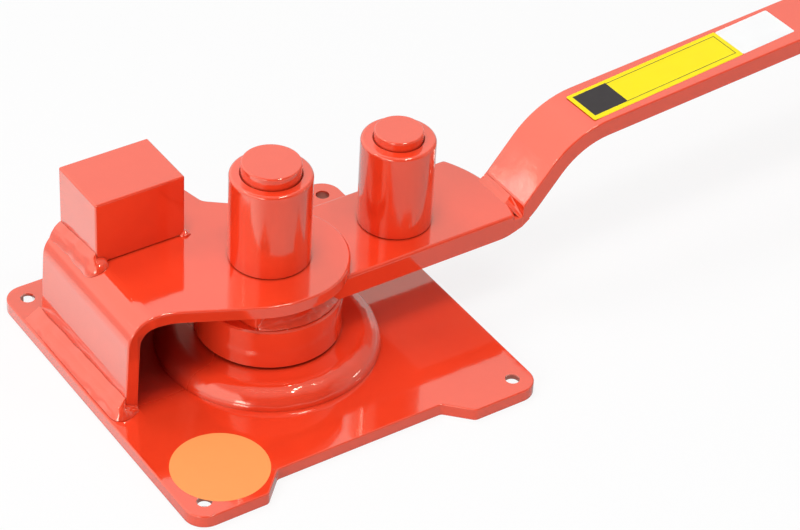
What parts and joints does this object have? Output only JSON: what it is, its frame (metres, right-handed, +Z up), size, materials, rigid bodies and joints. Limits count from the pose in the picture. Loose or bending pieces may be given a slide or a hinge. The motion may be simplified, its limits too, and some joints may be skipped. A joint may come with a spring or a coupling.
{
  "type": "manual rebar bender",
  "caption": "Bench rebar bender: square base, flanged hub, swinging lever plate with bending pin and sleeve, fixed former pin and sleeve, bent bracket with stop block, long flat lever.",
  "frame": {"origin": "on the lever's pivot axis, at the underside of the base plate", "axes": "+Z up along the pivot axis, +X along the lever at rest, +Y towards the stop block"},
  "size_m": [1.0004, 0.24, 0.1564],
  "materials": {
    "red_paint": "gloss",
    "washer_steel": "ground",
    "bush_bronze": "turned"
  },
  "bodies": {
    "base": {"base_plate": "red_paint", "flange_disc": "red_paint", "centre_shaft": "red_paint", "shaft_foot_weld": "red_paint", "thrust_washer": "washer_steel", "bracket": "red_paint", "bracket_foot_weld": "red_paint", "bracket_web": "red_paint", "bracket_web_weld": "red_paint", "stop_block": "red_paint", "stop_block_weld_left": "red_paint", "stop_block_weld_right": "red_paint"},
    "lever": {"hub_drum": "red_paint", "hub_bush": "bush_bronze", "lever_plate": "red_paint", "hub_weld_near": "red_paint", "hub_weld_far": "red_paint", "bending_pin": "red_paint", "bending_pin_weld": "red_paint", "lever_bar": "red_paint", "bar_weld_top": "red_paint", "bar_weld_root": "red_paint"},
    "former_sleeve": {"former_sleeve": "red_paint"},
    "bending_sleeve": {"bending_sleeve": "red_paint"}
  },
  "joints": [
    {"name": "lever_swing", "type": "hinge", "parent": "base", "child": "lever", "pos_m": [0, 0, 0.035], "axis": [0, 0, 1], "range_deg": [-148, 74]},
    {"name": "former_sleeve_spin", "type": "hinge", "parent": "base", "child": "former_sleeve", "pos_m": [0, 0, 0.102], "axis": [0, 0, 1], "continuous": true},
    {"name": "bending_sleeve_spin", "type": "hinge", "parent": "lever", "child": "bending_sleeve", "pos_m": [0.091, 0.0026, 0.0935], "axis": [0, 0, 1], "continuous": true}
  ]
}
